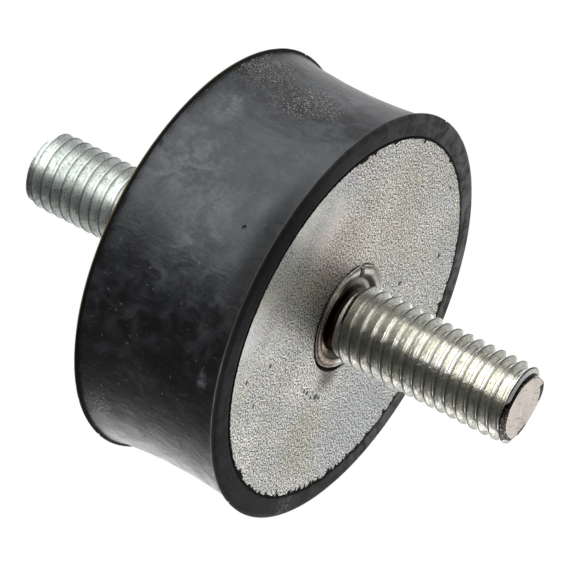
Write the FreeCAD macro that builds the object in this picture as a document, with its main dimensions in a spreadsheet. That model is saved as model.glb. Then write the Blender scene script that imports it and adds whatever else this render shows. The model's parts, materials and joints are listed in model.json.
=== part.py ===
import FreeCAD, Part

import os

import Sketcher

# Bobbin vibration mount: a waisted rubber drum moulded between two steel
# end plates, each holding a headed M10 stud that is swaged into its hole.
# Millimetres. The studs lie on Z and the origin is the middle of the rubber.

doc = FreeCAD.newDocument("bobbin_vibration_mount")

# Driving dimensions: name, size, what it measures
SIZES = [
    ("body_height", "20.7", "outer face to outer face of the end plates"),
    ("rubber_diameter", "52.0", "moulded lip, the widest part of the rubber"),
    ("bevel_width", "0.7", "bevel from the lip in to the flat end ring"),
    ("bevel_height", "0.35", "bevel from the lip out to the flat end ring"),
    ("lip_thickness", "0.25", "edge of the lip, along the axis"),
    ("lip_reach", "0.55", "lip beyond the side wall"),
    ("lip_runout", "0.4", "slope from the back of the lip in to the wall"),
    ("waist_depth", "0.65", "hollow of the side wall at mid height"),
    ("edge_cover", "3.0", "rubber round the edge of the end plate"),
    ("plate_thickness", "2.5", "end plate"),
    ("thread_diameter", "9.8", "M10 thread over its crests"),
    ("stud_length", "25.0", "tip of the stud beyond the plate face"),
    ("tip_bevel_width", "1.05", "bevel of the stud end, across the axis"),
    ("tip_bevel_length", "0.45", "bevel of the stud end, along the axis"),
    ("relief_depth", "0.75", "plain root of the stud below the crests"),
    ("relief_height", "0.55", "plain root of the stud beyond the plate face"),
    ("neck_step", "1.3", "neck in the plate hole, beyond the thread"),
    ("head_reach", "4.0", "head behind the plate, beyond the neck"),
    ("head_thickness", "2.0", "head behind the plate"),
    ("countersink", "0.65", "bevel of the plate hole at the outer face"),
    ("collar_height", "0.35", "swaged collar beyond the plate face"),
    ("collar_width", "1.35", "crest of the collar, across the axis"),
    ("collar_edge_bevel", "0.2", "eased outer edge of the collar"),
    ("groove_depth", "1.0", "swaging groove below the crest"),
    ("groove_flare", "0.35", "lean of the swaging groove's outer wall"),
]

# Radii and heights that follow from them: name, formula
PLACES = [
    ("lip_radius", "=sizes.rubber_diameter / 2"),
    ("rim_radius", "=lip_radius - sizes.bevel_width"),
    ("wall_radius", "=lip_radius - sizes.lip_reach"),
    ("waist_radius", "=wall_radius - sizes.waist_depth"),
    ("plate_radius", "=lip_radius - sizes.edge_cover"),
    ("thread_radius", "=sizes.thread_diameter / 2"),
    ("tip_radius", "=thread_radius - sizes.tip_bevel_width"),
    ("relief_radius", "=thread_radius - sizes.relief_depth"),
    ("neck_radius", "=thread_radius + sizes.neck_step"),
    ("head_radius", "=neck_radius + sizes.head_reach"),
    ("collar_radius", "=neck_radius + sizes.countersink"),
    ("crest_radius", "=collar_radius - sizes.collar_edge_bevel"),
    ("groove_mouth_radius", "=collar_radius - sizes.collar_width"),
    ("groove_floor_radius", "=groove_mouth_radius - sizes.groove_flare"),
    ("face", "=sizes.body_height / 2"),
    ("lip_front", "=face - sizes.bevel_height"),
    ("lip_back", "=lip_front - sizes.lip_thickness"),
    ("wall_end", "=lip_back - sizes.lip_runout"),
    ("countersink_floor", "=face - sizes.countersink"),
    ("plate_back", "=face - sizes.plate_thickness"),
    ("head_back", "=plate_back - sizes.head_thickness"),
    ("collar_top", "=face + sizes.collar_height"),
    ("collar_edge", "=collar_top - sizes.collar_edge_bevel"),
    ("groove_floor", "=collar_top - sizes.groove_depth"),
    ("relief_end", "=face + sizes.relief_height"),
    ("thread_start", "=relief_end + sizes.relief_depth"),
    ("tip", "=face + sizes.stud_length"),
    ("tip_edge", "=tip - sizes.tip_bevel_length"),
]

# Numbers of a sketch's own axes, and of the points of a line or arc
HORIZONTAL_AXIS = -1
VERTICAL_AXIS = -2
POINT = {"start": 1, "end": 2, "centre": 3}


def fill_sheet(name, rows):
    sheet = doc.addObject("Spreadsheet::Sheet", name)
    for number, row in enumerate(rows, start=1):
        sheet.set(f"A{number}", row[0])
        sheet.set(f"B{number}", row[1])
        sheet.setAlias(f"B{number}", row[0])
        sheet.set(f"C{number}", row[2] if len(row) > 2 else "")
    return sheet


sizes = fill_sheet("sizes", SIZES)
places = fill_sheet("places", PLACES)
doc.recompute()


def place(name):
    """The present value of a name in the places sheet; None is the axis or the middle plane."""
    return 0.0 if name is None else float(places.get(name))


def add_body(name, turn=0):
    """A body in the object's own frame; a turn of 180 about X faces it to the lower end."""
    body = doc.addObject("PartDesign::Body", name)
    body.Label = name
    body.Placement = FreeCAD.Placement(FreeCAD.Vector(), FreeCAD.Vector(1, 0, 0), turn)
    return body


def origin_plane(body, role):
    return next(item for item in body.Origin.OriginFeatures if item.Role == role)


def add_sketch(body, name, role):
    sketch = body.newObject("Sketcher::SketchObject", name)
    sketch.AttachmentSupport = [(origin_plane(body, role), "")]
    sketch.MapMode = "FlatFace"
    return sketch


def hold(sketch, kind, *terms, name=None, formula=None):
    """One constraint, named and bound to a sheet where a formula is given."""
    number = sketch.addConstraint(Sketcher.Constraint(kind, *terms))
    if formula:
        sketch.renameConstraint(number, name)
        sketch.setExpression(f"Constraints.{name}", formula)


def waist_curve(start, end):
    """The side wall: it leaves the middle plane at a right angle, at start, and ends at end."""
    depth = end.x - start.x
    radius = (depth**2 + end.y**2) / (2 * depth)
    centre = FreeCAD.Vector(start.x + radius, 0, 0)
    spoke = ((start + end) * 0.5 - centre).normalize()
    return Part.Arc(start, centre + spoke * abs(radius), end)


def draw_profile(body, name, corners, waist=None):
    """A closed outline in the plane of radius and height, with one dimension for each place.

    A corner is a radius and a height by name, or None on the axis or the middle plane.
    waist is the corner that the hollow side wall leaves.
    """
    sketch = add_sketch(body, name, "XZ_Plane")
    points = [FreeCAD.Vector(place(radius), place(height), 0) for radius, height in corners]
    ends = (POINT["start"], POINT["end"])
    sides = []
    for number, start in enumerate(points):
        end = points[(number + 1) % len(points)]
        curved = corners[number] == waist
        curve = waist_curve(start, end) if curved else Part.LineSegment(start, end)
        line = sketch.addGeometry(curve, False)
        first, last = sorted(ends, key=lambda point: sketch.getPoint(line, point).distanceToPoint(start))
        sides.append((line, first, last))
    for number, (line, _, last) in enumerate(sides):
        next_line, next_first, _ = sides[(number + 1) % len(sides)]
        hold(sketch, "Coincident", line, last, next_line, next_first)
    placed = {}
    for corner, (line, first, _) in zip(corners, sides):
        for place_name, axis, distance, level in (
            (corner[0], VERTICAL_AXIS, "DistanceX", "Vertical"),
            (corner[1], HORIZONTAL_AXIS, "DistanceY", "Horizontal"),
        ):
            if place_name is None:
                hold(sketch, "PointOnObject", line, first, axis)
            elif place_name in placed:
                hold(sketch, level, *placed[place_name], line, first)
            else:
                terms = (HORIZONTAL_AXIS, POINT["start"], line, first, place(place_name))
                hold(sketch, distance, *terms, name=place_name, formula=f"places.{place_name}")
                placed[place_name] = (line, first)
    if waist:
        line = sides[corners.index(waist)][0]
        hold(sketch, "PointOnObject", line, POINT["centre"], HORIZONTAL_AXIS)
    return sketch


def revolve(body, name, sketch):
    feature = body.newObject("PartDesign::Revolution", name)
    feature.Profile = sketch
    feature.ReferenceAxis = (sketch, ["V_Axis"])
    feature.Angle = 360
    sketch.Visibility = False
    doc.recompute()
    return feature


# Rubber: the upper half, from the hollow side wall over the lip and the flat
# end ring, round the edge of the plate and the head, mirrored below.
rubber = add_body("rubber_body")
rubber_corners = [
    ("waist_radius", None),
    ("wall_radius", "wall_end"),
    ("lip_radius", "lip_back"),
    ("lip_radius", "lip_front"),
    ("rim_radius", "face"),
    ("plate_radius", "face"),
    ("plate_radius", "plate_back"),
    ("head_radius", "plate_back"),
    ("head_radius", "head_back"),
    (None, "head_back"),
    (None, None),
]
rubber_profile = draw_profile(rubber, "rubber_profile", rubber_corners, waist=("waist_radius", None))
rubber_half = revolve(rubber, "rubber_half", rubber_profile)
rubber_whole = rubber.newObject("PartDesign::Mirrored", "rubber_whole")
rubber_whole.Originals = [rubber_half]
rubber_whole.MirrorPlane = (origin_plane(rubber, "XY_Plane"), [""])
rubber.Tip = rubber_whole


def make_plate(name, turn):
    """A punched disc, countersunk for the neck of the stud."""
    body = add_body(name, turn)
    sketch = add_sketch(body, f"{name}_outline", "XY_Plane")
    sketch.setExpression("AttachmentOffset.Base.z", "places.plate_back")
    for radius in ("plate_radius", "neck_radius"):
        circle = Part.Circle(FreeCAD.Vector(), FreeCAD.Vector(0, 0, 1), place(radius))
        line = sketch.addGeometry(circle, False)
        hold(sketch, "Coincident", line, POINT["centre"], HORIZONTAL_AXIS, POINT["start"])
        hold(sketch, "Radius", line, place(radius), name=radius, formula=f"places.{radius}")
    disc = body.newObject("PartDesign::Pad", f"{name}_disc")
    disc.Profile = sketch
    disc.setExpression("Length", "sizes.plate_thickness")
    sketch.Visibility = False
    doc.recompute()
    edge = circular_edge(disc.Shape, place("neck_radius"), place("face"))
    cut = body.newObject("PartDesign::Chamfer", f"{name}_countersink")
    cut.Base = (disc, [edge])
    cut.setExpression("Size", "sizes.countersink")
    body.Tip = cut
    return body


def circular_edge(shape, radius, height):
    """The name of the full circle with this radius at this height."""
    tolerance = 1e-6
    for number, edge in enumerate(shape.Edges, start=1):
        curve = edge.Curve
        if isinstance(curve, Part.Circle) and abs(curve.Radius - radius) < tolerance:
            if abs(curve.Center.z - height) < tolerance:
                return f"Edge{number}"
    raise RuntimeError(f"no edge of radius {radius} at height {height}")


def make_stud(name, turn):
    """Head, neck, swaged collar and groove, plain root, shank over its crests, bevelled end."""
    body = add_body(name, turn)
    corners = [
        (None, "head_back"),
        ("head_radius", "head_back"),
        ("head_radius", "plate_back"),
        ("neck_radius", "plate_back"),
        ("neck_radius", "countersink_floor"),
        ("collar_radius", "face"),
        ("collar_radius", "collar_edge"),
        ("crest_radius", "collar_top"),
        ("groove_mouth_radius", "collar_top"),
        ("groove_floor_radius", "groove_floor"),
        ("relief_radius", "groove_floor"),
        ("relief_radius", "relief_end"),
        ("thread_radius", "thread_start"),
        ("thread_radius", "tip_edge"),
        ("tip_radius", "tip"),
        (None, "tip"),
    ]
    sketch = draw_profile(body, f"{name}_profile", corners)
    body.Tip = revolve(body, f"{name}_turning", sketch)
    return body


UPWARDS, DOWNWARDS = 0, 180
pieces = [
    rubber,
    make_plate("upper_plate", UPWARDS),
    make_plate("lower_plate", DOWNWARDS),
    make_stud("upper_stud", UPWARDS),
    make_stud("lower_stud", DOWNWARDS),
]
doc.recompute()

for item in doc.Objects:
    if {"Invalid", "Error"} & set(item.State):
        raise RuntimeError(f"{item.Label} did not build: {item.State}")
    if item.TypeId == "Sketcher::SketchObject" and not item.FullyConstrained:
        raise RuntimeError(f"{item.Label} is not fully constrained")
for piece in pieces:
    shape = piece.Shape
    if shape.isNull() or not shape.isValid() or len(shape.Solids) != 1:
        raise RuntimeError(f"{piece.Label} is not one valid solid")

os.makedirs("parts", exist_ok=True)
for piece in pieces:
    piece.Shape.exportStep(f"parts/{piece.Label}.step")
    print(f"{piece.Label}: {piece.Shape.Volume:.1f} mm3")
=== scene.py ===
import json
import math

import bpy
from mathutils import Matrix, Vector, noise


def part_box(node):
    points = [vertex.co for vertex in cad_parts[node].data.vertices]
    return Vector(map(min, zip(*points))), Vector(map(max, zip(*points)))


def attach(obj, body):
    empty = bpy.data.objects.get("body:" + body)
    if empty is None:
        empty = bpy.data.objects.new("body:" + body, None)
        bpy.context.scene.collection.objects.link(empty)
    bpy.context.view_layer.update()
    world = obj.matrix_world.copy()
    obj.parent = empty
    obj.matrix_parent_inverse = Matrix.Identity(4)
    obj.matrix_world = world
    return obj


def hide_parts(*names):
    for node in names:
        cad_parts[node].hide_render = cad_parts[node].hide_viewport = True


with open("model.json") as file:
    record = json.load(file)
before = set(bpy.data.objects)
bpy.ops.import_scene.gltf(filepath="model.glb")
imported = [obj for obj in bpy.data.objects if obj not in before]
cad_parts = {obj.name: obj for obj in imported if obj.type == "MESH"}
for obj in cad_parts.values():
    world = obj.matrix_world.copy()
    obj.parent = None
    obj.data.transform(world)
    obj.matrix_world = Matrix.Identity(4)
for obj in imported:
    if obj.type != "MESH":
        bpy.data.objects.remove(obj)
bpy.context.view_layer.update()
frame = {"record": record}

# Bobbin vibration mount: waisted rubber between two steel plates with M10 studs.
# Metres; the studs lie on Z and the origin is the middle of the rubber.

MM = 0.001
TURN = 2 * math.pi

# Places that the frame gives, in millimetres


def top_of(node):
    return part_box(node)[1] / MM


LIP_RADIUS = top_of("rubber_body").x
FACE = top_of("upper_plate").z
PLATE_RADIUS = top_of("upper_plate").x
PLATE_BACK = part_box("upper_plate")[0].z / MM
HEAD_RADIUS = top_of("upper_stud").x
HEAD_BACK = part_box("upper_stud")[0].z / MM
TIP = top_of("upper_stud").z
STUD_MOUNT = next(m for m in frame["record"]["mounts"] if m["name"] == "upper_stud")
THREAD_RADIUS = STUD_MOUNT["dims"]["r_mm"]

# Sizes of the same forms as in the solids, in millimetres
BEVEL_WIDTH = 0.7
BEVEL_HEIGHT = 0.35
LIP_THICKNESS = 0.25
LIP_REACH = 0.55
LIP_RUNOUT = 0.4
WAIST_DEPTH = 0.65
NECK_RADIUS = 6.2
COUNTERSINK = 0.65
COLLAR_RADIUS = 6.85
COLLAR_HEIGHT = 0.35
COLLAR_WIDTH = 1.35
GROOVE_FLOOR_RADIUS = 5.15
GROOVE_DEPTH = 1.0
RELIEF_RADIUS = 4.15
RELIEF_END = FACE + 0.55
TIP_RADIUS = 3.85
TIP_BEVEL_LENGTH = 0.45
PITCH = 1.5
THREAD_DEPTH = 0.92


# Camera: the photograph's place, aim and roll, with the far rim up and left

CAMERA_PLACE = (0.39182, -0.09092, 0.19757)
CAMERA_AIM = (-0.87526, 0.20261, -0.43916)
CAMERA_UP = (-0.00868, -0.91446, -0.40459)
PHOTO_SIZE = 570
FOCAL_PIXELS = 3777
SENSOR_MM = 36.0


def make_camera():
    data = bpy.data.cameras.new("camera")
    data.sensor_width = SENSOR_MM
    data.lens = SENSOR_MM * FOCAL_PIXELS / PHOTO_SIZE
    data.clip_start = 0.01
    camera = bpy.data.objects.new("camera", data)
    bpy.context.collection.objects.link(camera)
    back = -Vector(CAMERA_AIM).normalized()
    right = Vector(CAMERA_UP).cross(back).normalized()
    up = back.cross(right)
    turn = Matrix((right, up, back)).transposed()
    camera.matrix_world = Matrix.Translation(CAMERA_PLACE) @ turn.to_4x4()
    bpy.context.scene.camera = camera


make_camera()


# Meshes


def mesh_object(name, points, faces, smooth_angle=40):
    """A smooth-shaded mesh from points in millimetres."""
    mesh = bpy.data.meshes.new(name)
    mesh.from_pydata([(x * MM, y * MM, z * MM) for x, y, z in points], [], faces)
    mesh.validate()
    for face in mesh.polygons:
        face.use_smooth = True
    mesh.set_sharp_from_angle(angle=math.radians(smooth_angle))
    piece = bpy.data.objects.new(name, mesh)
    bpy.context.collection.objects.link(piece)
    return piece


def lathe(name, rows, columns, loop=False):
    """A turned form. Each row is a function of the angle that gives a radius and a height.

    Rows run with the outside on their left. A row at radius 0 becomes one point. With
    loop the last row joins the first, as on a ring.
    """
    points = []
    starts = []
    for row in rows:
        starts.append(len(points))
        radius, height = row(0.0)
        if radius == 0:
            points.append((0, 0, height))
            continue
        for number in range(columns):
            angle = TURN * number / columns
            radius, height = row(angle)
            points.append((radius * math.cos(angle), radius * math.sin(angle), height))
    counts = [1 if row(0.0)[0] == 0 else columns for row in rows]
    faces = []
    last = len(rows) if loop else len(rows) - 1
    for number in range(last):
        low, high = starts[number], starts[(number + 1) % len(rows)]
        low_count, high_count = counts[number], counts[(number + 1) % len(rows)]
        for column in range(columns):
            after = (column + 1) % columns
            if low_count == 1:
                faces.append((low, high + column, high + after))
            elif high_count == 1:
                faces.append((low + after, low + column, high))
            else:
                faces.append((low + after, low + column, high + column, high + after))
    return mesh_object(name, points, faces)


def steady(radius, height):
    return lambda angle: (radius, height)


def ring_noise(angle, radius, size, seed):
    """Smooth noise of about -1 to 1 round a circle, with features of the given size in mm."""
    scale = radius / size
    return noise.noise(Vector((math.cos(angle) * scale, math.sin(angle) * scale, seed * 7.31)))


def spot(angle, centre, width):
    """1 at the centre angle, falling smoothly to 0 at the given half width, all in degrees."""
    away = abs((math.degrees(angle) - centre + 180) % 360 - 180) / width
    return 0.0 if away >= 1 else (1 - away * away) ** 2


def spots(angle, places, turned=0):
    """Sum of several spots, each given by its centre, half width and size."""
    return sum(size * spot(angle, centre + turned, width) for centre, width, size in places)


# Rubber

RUBBER_COLUMNS = 1200
# Rows of the waisted side, as shares of the way from the middle to the lip
SIDE_SHARES = (1.0, 0.95, 0.88, 0.8, 0.7, 0.6, 0.5, 0.4, 0.3, 0.2, 0.1)
TRENCH_WIDTH = 0.35
# Chips in the lips, parts where the flash is more ragged, and its teeth: angle and half width
# in degrees, then the size in mm (for the ragged parts, the share of the noise)
RIM_CHIPS = [(-104.0, 0.9, 0.12), (64.0, 0.8, 0.12), (-170.0, 14.0, 0.25), (141.0, 0.7, 0.10)]
RAGGED_PLACES = [(128, 60, 1.2), (75, 45, 1.0), (-58, 14, 0.6), (-178, 30, 0.6)]
FLASH_TEETH = [
    (-168.6, 0.8, 0.5),
    (-176.0, 1.1, 0.55),
    (-117.0, 1.3, 0.3),
    (-95.0, 0.8, 0.55),
    (-77.0, 1.6, 0.3),
    (-66.5, 1.0, 0.4),
    (-61.0, 2.2, 0.35),
    (101.0, 0.6, 0.4),
    (118.0, 0.7, 0.6),
    (126.0, 0.6, 0.7),
    (131.5, 0.8, 0.6),
    (146.0, 0.7, 0.75),
]
# The far end has the same damage, turned by these angles
CHIP_TURN = 37
FLASH_TURN = 50


def lip_chip(angle, seed):
    """How far the lip's thin edge is torn back, in mm."""
    torn = 0.05 * max(0, ring_noise(angle, LIP_RADIUS, 0.9, seed) - 0.25)
    torn += 0.03 * ring_noise(angle, LIP_RADIUS, 6.0, seed + 1)
    return torn + spots(angle, RIM_CHIPS, seed * CHIP_TURN)


def flash_creep(angle, seed):
    """How far the thin rubber film creeps in over the plate's edge, in mm."""
    turned = seed * FLASH_TURN
    ragged = 0.15 + spots(angle, RAGGED_PLACES, turned)
    fine = max(0, ring_noise(angle, PLATE_RADIUS, 0.4, seed + 3) - 0.02)
    coarse = max(0, ring_noise(angle, PLATE_RADIUS, 1.1, seed + 5))
    return 0.02 + ragged * (0.9 * fine + 0.5 * coarse) + spots(angle, FLASH_TEETH, turned)


def rubber_half_rows(seed):
    """Rows of one half from the axis round the end to the lip, then of its side, then the middle."""
    trench = PLATE_RADIUS + TRENCH_WIDTH
    rim = LIP_RADIUS - BEVEL_WIDTH
    wall = LIP_RADIUS - LIP_REACH
    lip_front = FACE - BEVEL_HEIGHT
    lip_back = lip_front - LIP_THICKNESS
    wall_end = lip_back - LIP_RUNOUT
    rows = [
        steady(0, HEAD_BACK),
        steady(HEAD_RADIUS, HEAD_BACK),
        steady(HEAD_RADIUS, PLATE_BACK),
        steady(PLATE_RADIUS, PLATE_BACK),
        steady(PLATE_RADIUS, FACE),
    ]

    def film(inset, lift):
        def row(angle):
            swell = 1 + 0.6 * ring_noise(angle, PLATE_RADIUS, 0.6, seed + 8)
            return PLATE_RADIUS + inset - flash_creep(angle, seed), FACE + lift * swell
        return row

    rows += [film(0.0, 0.002), film(0.0, 0.03), film(0.04, 0.04), film(0.10, 0.03)]
    rows += [
        steady(PLATE_RADIUS + 0.12, FACE - 0.02),
        steady(PLATE_RADIUS + 0.15, FACE - 0.14),
        steady(PLATE_RADIUS + 0.26, FACE - 0.13),
        steady(PLATE_RADIUS + 0.32, FACE - 0.02),
    ]

    def ring(share):
        def row(angle):
            radius = trench + (rim - trench) * share
            return radius, FACE + 0.012 * ring_noise(angle, radius, 1.5, seed + 9 + share)
        return row

    rows += [ring(share) for share in (0.0, 0.25, 0.5, 0.75, 0.93)]

    def lip(radius, height, share):
        def row(angle):
            wave = 0.05 * ring_noise(angle, LIP_RADIUS, 9.0, seed + 11)
            return radius - share * lip_chip(angle, seed), height + share * wave
        return row

    rows += [
        lip(rim + 0.06, FACE - 0.015, 0.1),
        lip(rim + 0.35, FACE - 0.14, 0.4),
        lip(LIP_RADIUS - 0.10, lip_front + 0.03, 0.9),
        lip(LIP_RADIUS, lip_front - 0.02, 1.0),
        lip(LIP_RADIUS, lip_front - 0.12, 1.0),
        lip(LIP_RADIUS - 0.10, lip_back + 0.04, 0.9),
        lip(wall + 0.25, lip_back - 0.08, 0.5),
        lip(wall + 0.08, lip_back - 0.2, 0.2),
    ]

    def side(share):
        def row(angle):
            height = wall_end * share
            hollow = WAIST_DEPTH * (1 - share * share)
            uneven = 0.03 * ring_noise(angle, LIP_RADIUS, 5.0, seed * share + height / 5.0)
            return wall - hollow + uneven, height
        return row

    return rows, [side(share) for share in SIDE_SHARES], side(0.0)


def below(row):
    """The row mirrored to the far half."""
    def lower(angle):
        radius, height = row(-angle)
        return radius, -height
    return lower


def make_rubber():
    upper, upper_side, middle = rubber_half_rows(seed=0)
    lower, lower_side, _ = rubber_half_rows(seed=1)
    rows = upper + upper_side + [middle]
    rows += [below(row) for row in reversed(lower + lower_side)]
    return lathe("rubber", rows, RUBBER_COLUMNS)


# Plates

PLATE_COLUMNS = 480
PLATE_ROW_STEP = 0.5
# The face is uneven by this much, less so towards its edges
PLATE_UNEVEN = 0.008
FADE_AT_MOUTH = 1.5
FADE_AT_EDGE = 1.0


def make_plate(name, seed):
    mouth = NECK_RADIUS + COUNTERSINK
    rows = [steady(NECK_RADIUS, PLATE_BACK), steady(PLATE_RADIUS, PLATE_BACK)]

    def face(radius):
        def row(angle):
            place = Vector((radius * math.cos(angle), radius * math.sin(angle), seed * 9.0))
            uneven = noise.fractal(place / 2.2, 0.9, 2.0, 3)
            fade = min(1, (radius - mouth) / FADE_AT_MOUTH, (PLATE_RADIUS - radius) / FADE_AT_EDGE)
            return radius, FACE + PLATE_UNEVEN * uneven * max(0, fade)
        return row

    steps = int((PLATE_RADIUS - mouth) / PLATE_ROW_STEP)
    rows += [face(PLATE_RADIUS - (PLATE_RADIUS - mouth) * number / steps) for number in range(steps + 1)]
    rows.append(steady(NECK_RADIUS, FACE - COUNTERSINK))
    return lathe(name, rows, PLATE_COLUMNS, loop=True)


# Studs

STUD_COLUMNS = 200
CREST_HALF = 0.075
CREST_ROUND = 0.022
ROOT_ROUND = 0.16
CREST_STEPS = (0.04, 0.065, 0.085, 0.11, 0.15, 0.23, 0.36, 0.48, 0.57, 0.64, 0.70)
UPPER_PHASE = 0.93
LOWER_PHASE = 0.43
RUN_IN_LENGTH = 0.9
# Where the swaging pushed the collar out or left a gap, and its burr and split: angle and half
# width in degrees, size in mm
COLLAR_PUSHES = [(-48, 85, 0.55), (-135, 45, -0.2), (98, 66, -0.65)]
COLLAR_BUMPS = [(-92, 20, 0.14), (-74, 3.5, -0.40)]
# The last crests are rubbed down, and the far side of the end is pressed in and down
RUBBED_DEPTH = 0.15
RUBBED_LENGTH = 2.5
PRESSED_ANGLE = 156
PRESSED_WIDTH = 75
PRESSED_IN = 0.4
PRESSED_DOWN = 0.3
PRESSED_LENGTH = 1.2
# The end face: depth of its middle under its edge, and its rings as shares of the radius
TIP_DISH = 0.06
TIP_SHARES = (0.96, 0.88, 0.6, 0.3)


def thread_cut(away):
    """Depth under the crest at a distance along the axis from the middle of the crest, in mm."""
    flank = CREST_ROUND * math.log(1 + math.exp((away - CREST_HALF) / CREST_ROUND)) * math.sqrt(3)
    start = THREAD_DEPTH - ROOT_ROUND
    if flank > start:
        flank = start + ROOT_ROUND * math.tanh((flank - start) / ROOT_ROUND)
    return flank


def worn_end(angle):
    """How far the far side of the stud's end is pressed down and in, 0 to 1."""
    return spot(angle, PRESSED_ANGLE, PRESSED_WIDTH)


def stud_outline(angle, height):
    """Radius that the run-in at the root and the bevel at the tip leave to the crests."""
    run_in = RELIEF_RADIUS + (height - RELIEF_END)
    end = TIP_RADIUS - PRESSED_IN * worn_end(angle)
    bevel = end + (TIP - height) * (THREAD_RADIUS - TIP_RADIUS) / TIP_BEVEL_LENGTH
    rubbed = RUBBED_DEPTH * max(0, 1 - (TIP - height) / RUBBED_LENGTH)
    return max(RELIEF_RADIUS, min(THREAD_RADIUS, run_in) - rubbed), bevel


def thread_point(angle, turns, away, seed):
    """A point of the thread: turns counts the pitches from the run-in, away is from the crest."""
    height = max(RELIEF_END, min(TIP, RELIEF_END + PITCH * (turns + angle / TURN)))
    crest, bevel = stud_outline(angle, height)
    ramp = min(1, (height - RELIEF_END) / RUN_IN_LENGTH)
    worn = 0.012 * ring_noise(angle, THREAD_RADIUS, 1.1, seed + height / 3.0)
    worn -= 0.05 * max(0, ring_noise(angle, THREAD_RADIUS, 0.5, seed + height / 1.3) - 0.45)
    radius = min(crest - ramp * thread_cut(away) + ramp * worn, bevel)
    above = height - TIP + PRESSED_LENGTH
    if above > 0:
        height -= PRESSED_DOWN * worn_end(angle) * above / PRESSED_LENGTH
    return radius, height


def collar_shift(angle):
    """How far the swaging pushed the collar's outer edge out, in mm; it left a gap at one side."""
    return spots(angle, COLLAR_PUSHES)


def collar_lift(angle, seed):
    """Waves of the collar's crest, with a split and a raised burr beside it, in mm."""
    wave = 0.04 * ring_noise(angle, COLLAR_RADIUS, 2.5, seed + 2)
    return wave + spots(angle, COLLAR_BUMPS)


def stud_root_rows(seed):
    """Rows from the middle of the head out to its edge and up to the end of the plain root."""
    mouth = COLLAR_RADIUS - COLLAR_WIDTH
    floor = FACE + COLLAR_HEIGHT - GROOVE_DEPTH

    def collar(radius, height, share=1.0):
        def row(angle):
            squeeze = 0.05 * ring_noise(angle, COLLAR_RADIUS, 4.0, seed + 4) + collar_shift(angle)
            return radius + squeeze * share, FACE + height + collar_lift(angle, seed) * share
        return row

    return [
        steady(0, HEAD_BACK),
        steady(HEAD_RADIUS, HEAD_BACK),
        steady(HEAD_RADIUS, PLATE_BACK),
        steady(NECK_RADIUS, PLATE_BACK),
        steady(NECK_RADIUS, FACE - COUNTERSINK),
        collar(COLLAR_RADIUS - 0.30, -0.45, 0.5),
        collar(COLLAR_RADIUS - 0.03, -0.06, 0.95),
        collar(COLLAR_RADIUS, 0.05, 0.95),
        collar(COLLAR_RADIUS - 0.03, 0.16),
        collar(COLLAR_RADIUS - 0.12, 0.22),
        collar(COLLAR_RADIUS - 0.22, 0.21),
        collar(COLLAR_RADIUS - 0.30, 0.15),
        collar(COLLAR_RADIUS - 0.36, 0.19),
        collar(COLLAR_RADIUS - 0.46, 0.31),
        collar(COLLAR_RADIUS - 0.62, COLLAR_HEIGHT),
        collar(mouth + 0.28, COLLAR_HEIGHT - 0.02, 0.9),
        collar(mouth + 0.10, COLLAR_HEIGHT - 0.08, 0.8),
        collar(mouth, COLLAR_HEIGHT - 0.2, 0.7),
        collar(mouth - 0.25, -0.15, 0.4),
        steady(GROOVE_FLOOR_RADIUS + 0.05, floor + 0.1),
        steady(GROOVE_FLOOR_RADIUS - 0.1, floor),
        steady(RELIEF_RADIUS + 0.15, floor),
        steady(RELIEF_RADIUS, floor + 0.15),
    ]


def thread_rows(phase):
    """Rows of the strip as (pitches from the run-in, distance from the crest); rows in a turn."""
    before = [-away for away in reversed(CREST_STEPS)]
    steps = [-PITCH / 2] + before + [0.0] + list(CREST_STEPS)
    turns = math.ceil((TIP - RELIEF_END) / PITCH) + 2
    rows = []
    for number in range(turns * len(steps) + 1):
        whole, step = divmod(number, len(steps))
        rows.append((whole - 2 + phase + steps[step] / PITCH, abs(steps[step])))
    return rows, len(steps)


def add_thread(points, faces, first_ring, seed, phase):
    """Add the helical strip above the root's last ring, and return the ring at the tip."""
    rows, per_turn = thread_rows(phase)
    at_tip = {}
    strip = []
    for turned, away in rows:
        ring = []
        for column in range(STUD_COLUMNS):
            angle = TURN * column / STUD_COLUMNS
            height = RELIEF_END + PITCH * (turned + angle / TURN)
            if height <= RELIEF_END:
                ring.append(first_ring + column)
                continue
            if height >= TIP and column in at_tip:
                ring.append(at_tip[column])
                continue
            if height >= TIP:
                at_tip[column] = len(points)
            ring.append(len(points))
            radius, height = thread_point(angle, turned, away, seed)
            points.append((radius * math.cos(angle), radius * math.sin(angle), height))
        strip.append(ring)
    for number in range(len(strip) - 1):
        low, high = strip[number], strip[number + 1]
        for column in range(STUD_COLUMNS):
            after = column + 1
            if after < STUD_COLUMNS:
                corners = (low[after], low[column], high[column], high[after])
            elif number + 1 + per_turn < len(strip):
                next_low, next_high = strip[number + per_turn][0], strip[number + 1 + per_turn][0]
                corners = (next_low, low[column], high[column], next_high)
            else:
                continue
            corners = tuple(dict.fromkeys(corners))
            if len(corners) > 2:
                faces.append(corners)
    return [at_tip[column] for column in range(STUD_COLUMNS)]


def add_end_face(points, faces, rim, seed):
    """Close the tip inside its rim by rings, smooth at the edge and uneven inside, and a middle."""
    middle = TIP - TIP_DISH
    outer = rim
    for share in TIP_SHARES:
        inner = []
        for column in range(STUD_COLUMNS):
            x, y, height = points[rim[column]]
            level = middle + (height - middle) * share
            if share < TIP_SHARES[0]:
                level += 0.02 * ring_noise(TURN * column / STUD_COLUMNS, 3 * share, 1.2, seed + 6)
            inner.append(len(points))
            points.append((x * share, y * share, level))
        for column in range(STUD_COLUMNS):
            after = (column + 1) % STUD_COLUMNS
            faces.append((outer[after], outer[column], inner[column], inner[after]))
        outer = inner
    centre = len(points)
    points.append((0, 0, middle))
    for column in range(STUD_COLUMNS):
        faces.append((outer[(column + 1) % STUD_COLUMNS], outer[column], centre))


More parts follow.
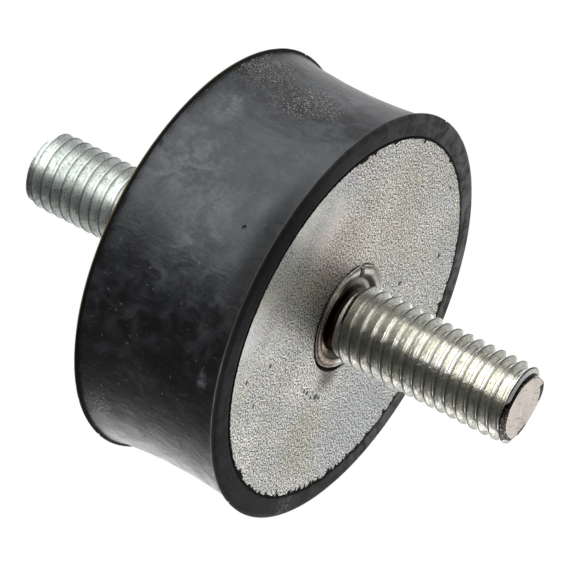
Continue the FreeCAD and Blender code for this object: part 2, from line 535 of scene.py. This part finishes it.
def make_stud(name, seed, phase):
    """The root is turned, and the thread is one helical strip that both ends cut off square."""
    root = lathe(name, stud_root_rows(seed) + [steady(RELIEF_RADIUS, RELIEF_END)], STUD_COLUMNS)
    mesh = root.data
    points = [tuple(v.co / MM) for v in mesh.vertices]
    faces = [tuple(face.vertices) for face in mesh.polygons]
    rim = add_thread(points, faces, len(points) - STUD_COLUMNS, seed, phase)
    add_end_face(points, faces, rim, seed)
    bpy.data.objects.remove(root)
    bpy.data.meshes.remove(mesh)
    return mesh_object(name, points, faces, smooth_angle=50)


def turn_over(piece):
    """Turn a piece half round X, to the lower end."""
    piece.data.transform(Matrix.Rotation(math.pi, 4, "X"))
    return piece


# Materials

# Marks on the turned forms: angle in degrees, height, distance from the axis, half width and
# half height, all in mm. WHOLE is taller than the part, so such a mark has no upper or lower end.
WHOLE = 60.0
CRUMBLY_PLACES = [
    (-73, -7.5, 25.0, 6.5, 5.5), (-68, 0.0, 24.8, 6.0, 6.0), (48, -7.5, 25.2, 3.0, 2.5),
]
SMUDGES = [
    (-32, -5.5, 25.0, 7.0, 6.0), (-23, -1.0, 25.0, 7.0, 6.0), (-51, -6.5, 25.0, 4.5, 3.0),
    (20, 7.4, 25.2, 2.0, 1.0), (-74, -8.0, 25.0, 5.0, 3.5), (-78, 0.0, 25.0, 6.0, 7.0),
]
# Places of painted sheen where the side turns away
RIM_SHEEN_PLACES = [(-102, 0, 25.5, 9.0, WHOLE), (78, -2, 25.5, 14.0, WHOLE)]
CALM_PLACES = [(0, FACE, 23.0, 15.0, WHOLE), (-38, FACE, 22.5, 12.0, WHOLE)]
# Two places of painted shade at the edge of the stud's end
TIP_DENT_SHADE_PLACES = [(-146, TIP, 3.4, 1.5, 2.0), (122, TIP, 3.4, 1.2, 2.0)]

# Dark pits in the plate: angle, distance from the axis and size in mm
PLATE_PITS = [
    (21, 15.8, 0.36), (66, 10.1, 0.3), (71, 10.0, 0.42), (79, 10.3, 0.3), (86, 10.1, 0.5), (91, 10.2, 0.3),
    (22, 20.4, 0.34), (35, 18.5, 0.26), (-155, 19.0, 0.4), (-155, 10.7, 0.4), (-128, 21.5, 0.3),
]

# Colours of the rubber
RUBBER_DARK = (0.007, 0.007, 0.008, 1)
RUBBER_PALE = (0.014, 0.014, 0.016, 1)
# Dust, also standing in for sheen on the lit side
DUST_AND_PAINTED_SHEEN = (0.20, 0.21, 0.23, 1)
# Painted sheen on the lit side of the rubber
PAINTED_SHEEN = (0.10, 0.11, 0.12, 1)
SCUFFED = (0.12, 0.12, 0.125, 1)
CRUMB_BED = (0.003, 0.003, 0.004, 1)
CRUMB = (0.80, 0.81, 0.80, 1)
SPECK = (0.4, 0.4, 0.38, 1)
SHADE = (0.003, 0.003, 0.003, 1)
RING_BLACK = (0.002, 0.002, 0.002, 1)
# Dust on the end ring, also painted light over one side of it
RING_DUST_AND_PAINTED_LIGHT = (0.20, 0.20, 0.195, 1)
SCRAPED = (0.18, 0.18, 0.175, 1)
# Painted highlight along the back of the near lip
PAINTED_HIGHLIGHT_LINE = (0.48, 0.48, 0.47, 1)
GOLD_STAIN = (0.26, 0.19, 0.07, 1)
# Painted sheen where the rubber side turns away from view
PAINTED_RIM_SHEEN = (0.30, 0.295, 0.285, 1)
# Black of the pit, and painted shade in the seam round the plate
DARK_PIT_AND_SEAM_SHADE = (0.001, 0.001, 0.001, 1)

# Colours of the plates
ZINC_DARK = (0.46, 0.455, 0.435, 1)
ZINC_PALE = (0.62, 0.61, 0.575, 1)
ZINC_COOL = (0.50, 0.52, 0.56, 1)
ZINC_GREEN = (0.52, 0.52, 0.42, 1)
ZINC_WARM = (0.56, 0.51, 0.42, 1)
ZINC_PINK = (0.58, 0.50, 0.46, 1)
BROWN_HAZE = (0.60, 0.51, 0.44, 1)
OLIVE_HAZE = (0.40, 0.395, 0.325, 1)
BLUE_HAZE = (0.42, 0.44, 0.46, 1)
GRAIN_DARK = (0.08, 0.075, 0.065, 1)
# Painted shadow on the plate below the collar
PAINTED_COLLAR_SHADOW = (0.06, 0.045, 0.035, 1)
PIT_DARK = (0.03, 0.028, 0.026, 1)
# Painted shade on the plate below its face
PAINTED_SUNKEN_SHADE = (0.012, 0.009, 0.008, 1)

# Colours of the studs
WARM_STEEL = (0.86, 0.855, 0.80, 1)
WARM_STAIN = (0.70, 0.685, 0.60, 1)
# Lower stud's copy of the steel, paler and bluer: partly its own tint, partly painted light
COOL_STEEL = (0.95, 0.99, 0.975, 1)
COOL_STAIN = (0.82, 0.88, 0.86, 1)
PEPPER = (0.25, 0.28, 0.26, 1)
GREEN_TINT = (0.50, 0.56, 0.47, 1)
PINK_TINT = (0.62, 0.52, 0.46, 1)
STREAKED = (0.22, 0.21, 0.18, 1)
PORES = (0.12, 0.11, 0.09, 1)
GROOVE_DIRT = (0.20, 0.20, 0.165, 1)
RUST_PALE = (0.30, 0.23, 0.185, 1)
RUST_DARK = (0.13, 0.09, 0.07, 1)
OLIVE_DIRT = (0.06, 0.07, 0.062, 1)
# Brown stain deep in the groove, partly painted shade
DEEP_STAIN_AND_SHADE = (0.045, 0.024, 0.020, 1)
# Painted shade along the thread crests
PAINTED_CREST_SHADE = (0.07, 0.08, 0.07, 1)
# Painted shade on the bevel at the tip
PAINTED_BEVEL_SHADE = (0.02, 0.012, 0.010, 1)
TIP_STEEL = (0.56, 0.50, 0.45, 1)
SCORED = (0.24, 0.19, 0.16, 1)
# Painted shade at the edge of the end face
PAINTED_DENT_SHADE = (0.015, 0.012, 0.010, 1)
COLLAR_GREY = (0.24, 0.23, 0.195, 1)
GRIT_LILAC = (0.62, 0.56, 0.60, 1)
GRIT_YELLOW = (0.60, 0.61, 0.50, 1)
GRIT_DARK = (0.16, 0.15, 0.15, 1)
# Painted highlight on the rim round the tip
PAINTED_HIGHLIGHT_STRIP = (0.97, 0.97, 0.95, 1)
# Painted dark line in the painted highlight on the tip's rim
PAINTED_DARK_LINE = (0.05, 0.05, 0.045, 1)


class Shader:
    """A node tree with one surface, built by short calls."""

    def __init__(self, name):
        self.material = bpy.data.materials.new(name)
        self.material.use_nodes = True
        self.tree = self.material.node_tree
        self.tree.nodes.clear()
        self.output = self.tree.nodes.new("ShaderNodeOutputMaterial")

    def add(self, kind, inputs=None, **settings):
        node = self.tree.nodes.new("ShaderNode" + kind)
        for key, value in settings.items():
            setattr(node, key, value)
        for key, value in (inputs or {}).items():
            self.put(node.inputs[key], value)
        return node

    def put(self, socket, value):
        if isinstance(value, bpy.types.NodeSocket):
            self.tree.links.new(value, socket)
        elif isinstance(value, bpy.types.Node):
            self.tree.links.new(value.outputs[0], socket)
        else:
            socket.default_value = value

    def place(self, stretch=(1, 1, 1)):
        source = self.add("TexCoord")
        return self.add("Mapping", {"Vector": source.outputs["Object"], "Scale": stretch}).outputs[0]

    def noise(self, where, size, detail=4.0, roughness=0.55, distortion=0.0):
        """Noise with features of about the given size in millimetres."""
        node = self.add(
            "TexNoise",
            {"Vector": where, "Scale": 1 / (size * MM), "Detail": detail, "Roughness": roughness,
             "Distortion": distortion},
        )
        return node.outputs["Fac"]

    def ramp(self, factor, low, high, start=0.0, end=1.0):
        node = self.add(
            "MapRange",
            {"Value": factor, "From Min": low, "From Max": high, "To Min": start, "To Max": end},
            interpolation_type="SMOOTHSTEP",
        )
        return node.outputs[0]

    def math(self, operation, first, second=0.0):
        node = self.add("Math", operation=operation)
        self.put(node.inputs[0], first)
        self.put(node.inputs[1], second)
        return node.outputs[0]

    def times(self, first, *others):
        for other in others:
            first = self.math("MULTIPLY", first, other)
        return first

    def mix(self, factor, first, second, blend="MIX"):
        node = self.add("Mix", data_type="RGBA", blend_type=blend)
        self.put(node.inputs["Factor"], factor)
        self.put(node.inputs[6], first)
        self.put(node.inputs[7], second)
        return node.outputs[2]

    def paint(self, under, over, *shares):
        """The colour over on the colour under, by the product of the shares."""
        return self.mix(self.times(*shares), under, over)

    def grey(self, value):
        node = self.add("CombineColor")
        for name in ("Red", "Green", "Blue"):
            self.put(node.inputs[name], value)
        return node.outputs[0]

    def mark(self, where, angle, height, radius, wide, tall):
        """1 at a place on the turned form, falling to 0 at the given half sizes, all in mm."""
        turn = math.radians(angle)
        centre = (radius * math.cos(turn) * MM, radius * math.sin(turn) * MM, height * MM)
        away = self.add("VectorMath", operation="SUBTRACT")
        self.put(away.inputs[0], where)
        away.inputs[1].default_value = centre
        scaled = self.add("VectorMath", operation="MULTIPLY")
        self.put(scaled.inputs[0], away.outputs[0])
        scaled.inputs[1].default_value = (1 / (wide * MM), 1 / (wide * MM), 1 / (tall * MM))
        length = self.add("VectorMath", operation="LENGTH")
        self.put(length.inputs[0], scaled.outputs[0])
        return self.ramp(length.outputs["Value"], 1.0, 0.2)

    def marks(self, where, places):
        """The strongest of several marks."""
        strongest = self.mark(where, *places[0])
        for place in places[1:]:
            strongest = self.math("MAXIMUM", strongest, self.mark(where, *place))
        return strongest

    def drop(self):
        """Distance below the middle plane in mm."""
        parts = self.add("SeparateXYZ", {"Vector": self.place()})
        return self.math("MULTIPLY", parts.outputs["Z"], -1 / MM)

    def height(self):
        """Distance from the middle plane in mm, to either side."""
        return self.math("ABSOLUTE", self.drop())

    def radius(self):
        """Distance from the axis in mm."""
        length = self.add("VectorMath", operation="LENGTH")
        self.put(length.inputs[0], self.place((1 / MM, 1 / MM, 0)))
        return length.outputs["Value"]

    def bump(self, height, distance, strength=1.0, normal=None):
        node = self.add("Bump", {"Height": height, "Distance": distance * MM, "Strength": strength})
        if normal is not None:
            self.put(node.inputs["Normal"], normal)
        return node.outputs[0]

    def finish(self, surface):
        self.tree.links.new(surface.outputs[0], self.output.inputs["Surface"])
        return self.material

    def metal(self, color, rough, normal):
        inputs = {"Base Color": color, "Roughness": rough, "Normal": normal, "Metallic": 1.0}
        return self.finish(self.add("BsdfPrincipled", inputs))


def rubber_material():
    s = Shader("moulded_rubber")
    where = s.place()
    cloud = s.noise(where, 9.0, 5.0, 0.6)
    patch = s.noise(where, 2.2, 6.0, 0.65, 0.6)
    grain = s.noise(where, 0.35, 4.0, 0.6)
    flow = s.noise(s.place((1.0, 1.0, 0.3)), 2.0, 5.0, 0.65, 0.4)
    height, radius, drop = s.height(), s.radius(), s.drop()

    # Dust, thicker towards the lit side where it is partly painted sheen, a painted sheen patch, crumbs,
    # scuffs, and shade near the ring, on the side
    crumbly = s.marks(where, CRUMBLY_PLACES)
    crumb = s.times(crumbly, s.ramp(s.noise(where, 0.22, 3.0, 0.75), 0.55, 0.62))
    # Dust is weighted towards the lit side, so there it is partly painted sheen
    painted_sheen_weight = s.ramp(s.mark(where, -50, 0, 22.0, 30.0, WHOLE), 0.0, 0.6, 0.25, 1.0)
    dust_and_sheen = s.times(s.ramp(cloud, 0.40, 0.66), s.ramp(patch, 0.38, 0.66), painted_sheen_weight)
    rough_crust = s.ramp(s.noise(where, 0.7, 5.0, 0.75), 0.4, 0.6, 0.4, 1.5)
    crust = s.times(s.ramp(patch, 0.35, 0.62, 0.25, 1.0), rough_crust)
    dust_and_sheen = s.math("ADD", dust_and_sheen, s.times(s.marks(where, SMUDGES), crust))
    speck = s.ramp(s.noise(where, 0.5, 2.0, 0.5), 0.69, 0.75)
    scuff = s.ramp(s.noise(s.place((1.0, 1.0, 0.25)), 0.45, 3.0, 0.6), 0.62, 0.72)
    painted_sheen_patch = s.mark(where, -45, 0, 20.0, 26.0, WHOLE)
    shade = s.mark(where, -20, FACE - 1.4, 25.3, 15.0, 3.2)
    color = s.mix(s.ramp(cloud, 0.3, 0.7), RUBBER_DARK, RUBBER_PALE)
    color = s.paint(color, DUST_AND_PAINTED_SHEEN, dust_and_sheen, 0.68)
    # Painted sheen: a lighter bluish patch on the lit side
    color = s.paint(color, PAINTED_SHEEN, painted_sheen_patch, s.ramp(flow, 0.45, 0.65, 0, 0.5))
    color = s.paint(color, SCUFFED, scuff, 0.35)
    color = s.paint(color, CRUMB_BED, crumbly, 0.6)
    color = s.paint(color, CRUMB, crumb)
    color = s.paint(color, SPECK, speck, 0.5)
    color = s.paint(color, SHADE, shade, 0.85)

    # The end ring, dusty and painted lighter over one side, and scraped at the bottom
    end = s.ramp(height, FACE - 0.45, FACE - 0.2)
    # Mottled like dust, but spread over a whole side so that the ring is painted lighter there
    dust_and_painted_light_side = s.times(s.mark(where, -165, FACE, 25.0, 50.0, WHOLE), s.ramp(patch, 0.35, 0.65, 0.05, 1.0))
    scraped = s.times(s.mark(where, 95, FACE, 24.4, 2.5, WHOLE), s.ramp(grain, 0.46, 0.60))
    color = s.paint(color, RING_BLACK, end, 0.9)
    color = s.paint(color, RING_DUST_AND_PAINTED_LIGHT, end, dust_and_painted_light_side, 0.9)
    color = s.paint(color, SCRAPED, end, scraped)

    # A painted highlight line along the near lip, the far lip and its stain
    painted_lip_highlight = s.times(
        s.ramp(drop, 0.85 - FACE, 0.72 - FACE),
        s.ramp(drop, 0.36 - FACE, 0.44 - FACE),
        s.ramp(s.mark(where, 35, FACE, 26.0, 19.0, WHOLE), 0.0, 1.0, 0.12, 1.0),
        s.ramp(patch, 0.3, 0.62, 0.3, 1.0),
    )
    color = s.paint(color, PAINTED_HIGHLIGHT_LINE, painted_lip_highlight, 0.9)
    far = s.ramp(drop, FACE - 0.76, FACE - 0.68)
    stained = s.times(s.ramp(drop, FACE - 0.50, FACE - 0.44), s.ramp(drop, FACE - 0.1, FACE - 0.2))
    color = s.paint(color, RING_BLACK, far)
    color = s.paint(color, GOLD_STAIN, stained, 0.9)

    # Painted sheen where the side turns away, the black pit, and painted shade in the seam round the plate
    painted_rim_sheen = s.times(
        s.marks(where, RIM_SHEEN_PLACES),
        s.ramp(height, FACE - 0.7, FACE - 1.1),
        s.ramp(patch, 0.25, 0.7, 0.5, 1.0),
    )
    color = s.paint(color, PAINTED_RIM_SHEEN, painted_rim_sheen, 0.6)
    pit = s.mark(where, -22, 5.25, 25.0, 0.32, 0.32)
    painted_seam_shade = s.times(end, s.ramp(radius, PLATE_RADIUS + 0.38, PLATE_RADIUS + 0.16))
    color = s.paint(color, DARK_PIT_AND_SEAM_SHADE, pit)
    # Painted shade in the groove of the seam round the plate
    color = s.paint(color, DARK_PIT_AND_SEAM_SHADE, painted_seam_shade)

    rough = s.ramp(patch, 0.3, 0.75, 0.34, 0.50)
    dull = s.math("MAXIMUM", s.math("MAXIMUM", end, painted_lip_highlight), far)
    rough = s.math("ADD", rough, s.times(dull, 0.4))
    rough = s.math("ADD", rough, s.times(shade, 0.3))
    rough = s.math("MINIMUM", s.math("ADD", rough, s.times(painted_seam_shade, 0.3)), 1.0)
    normal = s.bump(grain, 0.02, 0.5)
    normal = s.bump(patch, 0.2, 0.45, normal)
    normal = s.bump(flow, 0.25, 0.35, normal)
    normal = s.bump(crumb, 0.06, 0.8, normal)
    normal = s.bump(s.math("SUBTRACT", 1.0, pit), 0.25, 1.0, normal)
    surface = s.add(
        "BsdfPrincipled",
        {"Base Color": color, "Roughness": rough, "Normal": normal, "IOR": 1.55},
    )
    surface.inputs["Specular Tint"].default_value = (0.94, 0.97, 1.0, 1)
    surface.inputs["Specular IOR Level"].default_value = 0.43
    surface.inputs["Sheen Weight"].default_value = 0.15
    surface.inputs["Sheen Roughness"].default_value = 0.25
    surface.inputs["Sheen Tint"].default_value = (1.0, 0.97, 0.93, 1)
    return s.finish(surface)


def plate_material():
    s = Shader("zinc_plate")
    where = s.place()
    grain = s.noise(where, 0.22, 2.0, 0.6)
    fine = s.noise(where, 0.12, 1.5, 0.6)
    cloud = s.noise(where, 7.0, 4.0, 0.6)
    tint = s.noise(where, 4.5, 3.0, 0.5, 0.8)
    calm = s.times(s.marks(where, CALM_PLACES), s.ramp(cloud, 0.35, 0.6, 0.5, 1.0))
    spread = s.ramp(calm, 0.0, 1.0, 1.0, 0.25)

    # Clouds and tints of the plating
    color = s.mix(s.ramp(cloud, 0.3, 0.7), ZINC_DARK, ZINC_PALE)
    color = s.paint(color, ZINC_COOL, s.ramp(tint, 0.50, 0.70, 0, 0.35))
    color = s.paint(color, ZINC_GREEN, s.ramp(tint, 0.50, 0.30, 0, 0.5))
    color = s.paint(color, ZINC_WARM, s.mark(where, -100, FACE, 12.0, 15.0, WHOLE), 0.35)
    color = s.paint(color, ZINC_PINK, s.ramp(s.noise(where, 3.0, 3.0, 0.5), 0.58, 0.72, 0, 0.3))
    color = s.paint(color, BROWN_HAZE, s.mark(where, -42, FACE, 13.0, 8.0, WHOLE), 0.55)
    olive = s.mark(where, 88, FACE, 16.5, 8.5, WHOLE)
    color = s.paint(color, OLIVE_HAZE, olive, s.ramp(cloud, 0.3, 0.6, 0.6, 1.0), 0.75)
    color = s.paint(color, BLUE_HAZE, s.mark(where, 132, FACE, 17.5, 12.0, WHOLE), 0.6)

    # Grain, a painted shadow below the collar, the pits, and painted shade on the punched side and
    # countersink
    speckle = s.times(s.ramp(grain, 0.38, 0.62, -0.95, 0.6), spread)
    color = s.mix(1.0, color, s.grey(s.math("ADD", speckle, 1.0)), "MULTIPLY")
    color = s.paint(color, GRAIN_DARK, s.ramp(fine, 0.59, 0.68, 0, 0.9), spread)
    # Painted shadow: the plate darkened below the collar's lower side
    stain = s.mark(where, 92, FACE, 7.2, 2.8, 3.0)
    color = s.paint(color, PAINTED_COLLAR_SHADOW, stain, s.ramp(grain, 0.35, 0.6, 1.0, 0.7))
    pits = s.marks(where, [(angle, FACE, radius, size, size) for angle, radius, size in PLATE_PITS])
    color = s.paint(color, PIT_DARK, s.ramp(pits, 0.05, 0.3, 0, 0.95))
    # Painted shade on all of the plate below its face: the countersink gap round the collar and the side
    color = s.paint(color, PAINTED_SUNKEN_SHADE, s.ramp(s.height(), FACE - 0.04, FACE - 0.12))

    rough = s.ramp(fine, 0.3, 0.7, 0.36, 0.52)
    normal = s.bump(s.times(grain, spread), 0.07, 0.8)
    normal = s.bump(s.times(fine, spread), 0.03, 0.6, normal)
    return s.metal(color, rough, normal)


def stud_material(name, base, stain, dull, crest_shade):
    """Bright rolled steel; dull is how much rougher it is, and the last argument how dark the painted shade
    along its crests' edges is.
    """
    s = Shader(name)
    where = s.place()
    cloud = s.noise(where, 2.0, 5.0, 0.65)
    blotch = s.noise(where, 0.9, 4.0, 0.7, 0.5)
    streak = s.noise(s.place((1.0, 1.0, 3.0)), 0.5, 3.0, 0.6)
    fine = s.noise(where, 0.16, 3.0, 0.6)
    height, radius = s.height(), s.radius()
    at_collar = s.ramp(height, FACE + 0.6, FACE + 0.4)

    # Plating
    color = s.mix(s.ramp(cloud, 0.35, 0.7), base, stain)
    color = s.paint(color, PEPPER, s.ramp(cloud, 0.42, 0.56), s.ramp(fine, 0.50, 0.60, 0, 2.4 * dull))
    color = s.paint(color, GREEN_TINT, s.ramp(blotch, 0.50, 0.68, 0, 0.5))
    color = s.paint(color, PINK_TINT, s.ramp(blotch, 0.46, 0.30, 0, 0.45))
    color = s.paint(color, STREAKED, s.ramp(streak, 0.56, 0.70, 0, 0.6))

    # Pores of the collar, rust on its lower side, and dirt in the groove, deepest at one side where it is
    # partly painted shade
    pores = s.ramp(s.noise(where, 0.22, 3.0, 0.7), 0.52, 0.62, 0, 0.65)
    color = s.paint(color, PORES, pores, at_collar)
    color = s.paint(color, GROOVE_DIRT, s.ramp(height, FACE + 0.25, FACE), s.ramp(radius, 6.0, 5.6), 0.6)
    crescent = s.times(at_collar, s.mark(where, 48, FACE, 6.4, 6.0, 3.0))
    rust = s.mix(s.ramp(blotch, 0.4, 0.6), RUST_PALE, RUST_DARK)
    color = s.paint(color, rust, s.ramp(crescent, 0.0, 0.4), s.ramp(fine, 0.35, 0.6, 0.7, 1.0))
    olive = s.times(s.ramp(height, FACE + 0.3, FACE), s.mark(where, -56, FACE, 5.0, 3.8, 3.0))
    color = s.paint(color, OLIVE_DIRT, s.ramp(olive, 0.0, 0.4, 0, 0.9))
    # Deep in the groove: partly brown stain, partly painted shade
    deep_stain_and_shade = s.times(s.ramp(height, FACE + 0.3, FACE - 0.15), s.mark(where, -8, FACE, 5.6, 6.0, 3.0))
    color = s.paint(color, DEEP_STAIN_AND_SHADE, s.ramp(deep_stain_and_shade, 0.0, 0.3))

    # Painted shade along the crests of the thread
    crest = s.ramp(radius, THREAD_RADIUS - 0.24 * crest_shade, THREAD_RADIUS - 0.03)
    color = s.paint(color, PAINTED_CREST_SHADE, crest, crest_shade, s.ramp(height, FACE + 0.5, FACE + 0.8))

    # Painted shade on the bevel at the near tip, wider on its lower side
    lower_side = s.ramp(s.mark(where, 29, TIP, 4.6, 3.5, 3.0), 0.0, 0.3)
    painted_bevel_shade = s.times(
        s.ramp(s.math("SUBTRACT", radius, s.times(lower_side, 0.75)), 4.26, 4.18),
        s.ramp(radius, TIP_RADIUS - 0.06, TIP_RADIUS),
        s.ramp(height, TIP - 0.6, TIP - 0.45),
        s.ramp(s.drop(), 1.0, -1.0),
    )
    color = s.paint(color, PAINTED_BEVEL_SHADE, painted_bevel_shade, s.ramp(fine, 0.68, 0.58, 0.3, 1.0))

    # Scored end face, with painted shade at two places on its edge, where it is pressed in
    on_face = s.ramp(radius, TIP_RADIUS + 0.02, TIP_RADIUS - 0.1)
    tip_face = s.times(s.ramp(height, TIP - 0.5, TIP - 0.35), on_face)
    color = s.paint(color, TIP_STEEL, tip_face, 0.85)
    scores = s.noise(s.place((0.3, 1.2, 1.0)), 0.5, 4.0, 0.6)
    color = s.paint(color, SCORED, tip_face, s.ramp(scores, 0.56, 0.66, 0, 0.5))
    painted_dent_shade = s.ramp(s.marks(where, TIP_DENT_SHADE_PLACES), 0.0, 0.2)
    color = s.paint(color, PAINTED_DENT_SHADE, painted_dent_shade, s.ramp(radius, 3.08, 3.18), s.ramp(height, TIP - 0.8, TIP - 0.6))

    # Grey top of the collar
    grey_top = s.times(at_collar, s.mark(where, -106, FACE, 6.6, 6.2, 3.0))
    color = s.paint(color, COLLAR_GREY, grey_top, s.ramp(fine, 0.35, 0.65, 0.6, 1.0))

    # Gritty rim round the tip, with a painted highlight strip that has a painted dark line in it
    grit = s.mix(s.ramp(blotch, 0.42, 0.58), GRIT_LILAC, GRIT_YELLOW)
    grit = s.paint(grit, GRIT_DARK, s.ramp(s.noise(where, 0.25, 3.0, 0.7), 0.5, 0.62))
    rim = s.times(
        s.ramp(height, TIP - 1.1, TIP - 0.7),
        s.ramp(radius, TIP_RADIUS + 0.05, TIP_RADIUS + 0.2),
        s.ramp(painted_bevel_shade, 0.6, 0.2),
    )
    color = s.paint(color, grit, rim, 0.75)
    # Painted highlight: a near-white strip on the lit side of the rim
    painted_highlight_strip = s.times(s.ramp(s.mark(where, -55, TIP, 4.4, 4.6, 3.0), 0.0, 0.4), rim)
    color = s.paint(color, PAINTED_HIGHLIGHT_STRIP, painted_highlight_strip)
    # Painted dark reflection line inside the painted highlight
    color = s.paint(color, PAINTED_DARK_LINE, painted_highlight_strip, s.ramp(radius, 4.60, 4.66), s.ramp(radius, 4.80, 4.74))

    dulled = s.math("MAXIMUM", s.math("MAXIMUM", crescent, tip_face), grey_top)
    rough = s.ramp(cloud, 0.3, 0.7, 0.12 + dull, 0.24 + dull)
    rough = s.math("ADD", rough, s.times(rim, 0.1))
    rough = s.math("ADD", rough, s.times(dulled, 0.25))
    normal = s.bump(fine, 0.008, 0.6)
    normal = s.bump(streak, 0.015, 0.5, normal)
    normal = s.bump(blotch, 0.09, 0.6, normal)
    return s.metal(color, rough, normal)


def dress(piece, material, node):
    piece.data.materials.append(material)
    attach(piece, "root")
    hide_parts(node)


dress(make_rubber(), rubber_material(), "rubber_body")
plate_finish = plate_material()
dress(make_plate("plate_upper", 0), plate_finish, "upper_plate")
dress(turn_over(make_plate("plate_lower", 1)), plate_finish, "lower_plate")
# The two studs are one steel; the lower stud's copy is paler and bluer, partly its own tint and partly
# painted light
warm = stud_material("stud_warm", WARM_STEEL, WARM_STAIN, dull=0.0, crest_shade=0.55)
cool = stud_material("stud_cool", COOL_STEEL, COOL_STAIN, dull=0.27, crest_shade=0.62)
dress(make_stud("stud_upper", 0, UPPER_PHASE), warm, "upper_stud")
dress(turn_over(make_stud("stud_lower", 1, LOWER_PHASE)), cool, "lower_stud")


# Stage: floor, world and lamps

FLOOR_SIZE = 12.0
FLOOR_GLOW = 2.6
SKY_AZIMUTH = 164.0
SKY_HEIGHT = 30.0
# Lobes that polished faces mirror from the world: cosines at the lobe's edge and core, then its
# strength at the edge and at the core
SKY_LOBE = (0.6, 0.97, 0.08, 0.85)
BACK_AIM = (0.45, -0.84, 0.30)
BACK_LOBE = (0.2, 0.9, 0.0, 0.35)
DIM_SKY = 0.45
# Just over 1, so that the background is full white; the floor keeps a trace of its shadow
WHITE_LEVEL = 1.02
CAMERA_SHARE = 0.97
# What polished faces mirror from the floor: azimuth in degrees, and share of the glow
FLOOR_BANDS = [
    (-180, 0.80), (-155, 0.50), (-125, 0.28), (-108, 0.13), (-94, 0.3), (-82, 1.0), (-10, 1.0),
    (-2, 0.05), (48, 0.035), (58, 0.06), (82, 0.12), (96, 0.34), (114, 1.0), (180, 0.85),
]


def make_floor():
    half = FLOOR_SIZE / 2
    mesh = bpy.data.meshes.new("floor")
    corners = [(-half, -half, 0), (half, -half, 0), (half, half, 0), (-half, half, 0)]
    mesh.from_pydata(corners, [], [(0, 1, 2, 3)])
    floor = bpy.data.objects.new("floor", mesh)
    floor.location.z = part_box("lower_stud")[0].z
    bpy.context.collection.objects.link(floor)
    s = Shader("pale_floor")
    path = s.add("LightPath")
    source = s.add("TexCoord")
    parts = s.add("SeparateXYZ", {"Vector": source.outputs["Object"]})
    azimuth = s.math("ARCTAN2", parts.outputs["Y"], parts.outputs["X"])
    share = s.add("MapRange", {"Value": azimuth, "From Min": -math.pi, "From Max": math.pi}).outputs[0]
    bands = s.add("ValToRGB", {"Fac": share})
    ramp = bands.color_ramp
    while len(ramp.elements) < len(FLOOR_BANDS):
        ramp.elements.new(0.5)
    for element, (degrees, value) in zip(ramp.elements, FLOOR_BANDS):
        element.position = (degrees + 180) / 360
        element.color = (value, value, value, 1)
    glow = s.math("MULTIPLY", bands.outputs["Color"], FLOOR_GLOW)
    lit = s.add("BsdfDiffuse", {"Color": (0.8, 0.8, 0.8, 1)})
    seen = s.add("Emission", {"Color": (1, 1, 1, 1), "Strength": WHITE_LEVEL})
    mirrored = s.add("Emission", {"Color": (1, 1, 1, 1), "Strength": glow})
    to_camera = s.math("MULTIPLY", path.outputs["Is Camera Ray"], CAMERA_SHARE)
    camera_mix = s.add("MixShader", {0: to_camera, 1: lit, 2: seen})
    glossy_mix = s.add("MixShader", {0: path.outputs["Is Glossy Ray"], 1: camera_mix, 2: mirrored})
    floor.data.materials.append(s.finish(glossy_mix))


def make_world():
    world = bpy.data.worlds.new("studio")
    bpy.context.scene.world = world
    world.use_nodes = True
    tree = world.node_tree
    tree.nodes.clear()

    def add(kind):
        return tree.nodes.new("ShaderNode" + kind)

    path = add("LightPath")
    source = add("TexCoord")

    def lobe(aim, values, interpolation):
        along = add("VectorMath")
        along.operation = "DOT_PRODUCT"
        along.inputs[1].default_value = aim
        tree.links.new(source.outputs["Generated"], along.inputs[0])
        spread = add("MapRange")
        spread.interpolation_type = interpolation
        for name, value in zip(("From Min", "From Max", "To Min", "To Max"), values):
            spread.inputs[name].default_value = value
        tree.links.new(along.outputs["Value"], spread.inputs["Value"])
        return spread.outputs[0]

    def choose(ray, otherwise, chosen):
        mix = add("MixShader")
        tree.links.new(path.outputs[ray], mix.inputs[0])
        tree.links.new(otherwise.outputs[0], mix.inputs[1])
        tree.links.new(chosen.outputs[0], mix.inputs[2])
        return mix

    azimuth, height = math.radians(SKY_AZIMUTH), math.radians(SKY_HEIGHT)
    flat = math.cos(height)
    sky_aim = (flat * math.cos(azimuth), flat * math.sin(azimuth), math.sin(height))
    both = add("Math")
    both.operation = "ADD"
    tree.links.new(lobe(sky_aim, SKY_LOBE, "SMOOTHSTEP"), both.inputs[0])
    tree.links.new(lobe(BACK_AIM, BACK_LOBE, "LINEAR"), both.inputs[1])
    dim = add("Background")
    dim.inputs["Strength"].default_value = DIM_SKY
    white = add("Background")
    white.inputs["Color"].default_value = (1, 1, 1, 1)
    white.inputs["Strength"].default_value = WHITE_LEVEL
    glossy = add("Background")
    tree.links.new(both.outputs[0], glossy.inputs["Strength"])
    surface = choose("Is Glossy Ray", choose("Is Camera Ray", dim, white), glossy)
    output = add("OutputWorld")
    tree.links.new(surface.outputs[0], output.inputs["Surface"])


def make_lamp(name, direction, distance, size, power):
    data = bpy.data.lights.new(name, "AREA")
    data.shape = "DISK"
    data.size = size
    data.energy = power
    lamp = bpy.data.objects.new(name, data)
    aim = Vector(direction).normalized()
    lamp.location = aim * distance
    lamp.rotation_mode = "QUATERNION"
    lamp.rotation_quaternion = aim.to_track_quat("Z", "Y")
    bpy.context.collection.objects.link(lamp)


make_floor()
make_world()
make_lamp("key", (0.3, -0.9, 0.9), 0.8, 0.5, 1.0)
make_lamp("fill", (-0.7, 0.4, 0.8), 0.9, 0.6, 1.5)

bpy.context.scene.view_settings.view_transform = "Standard"
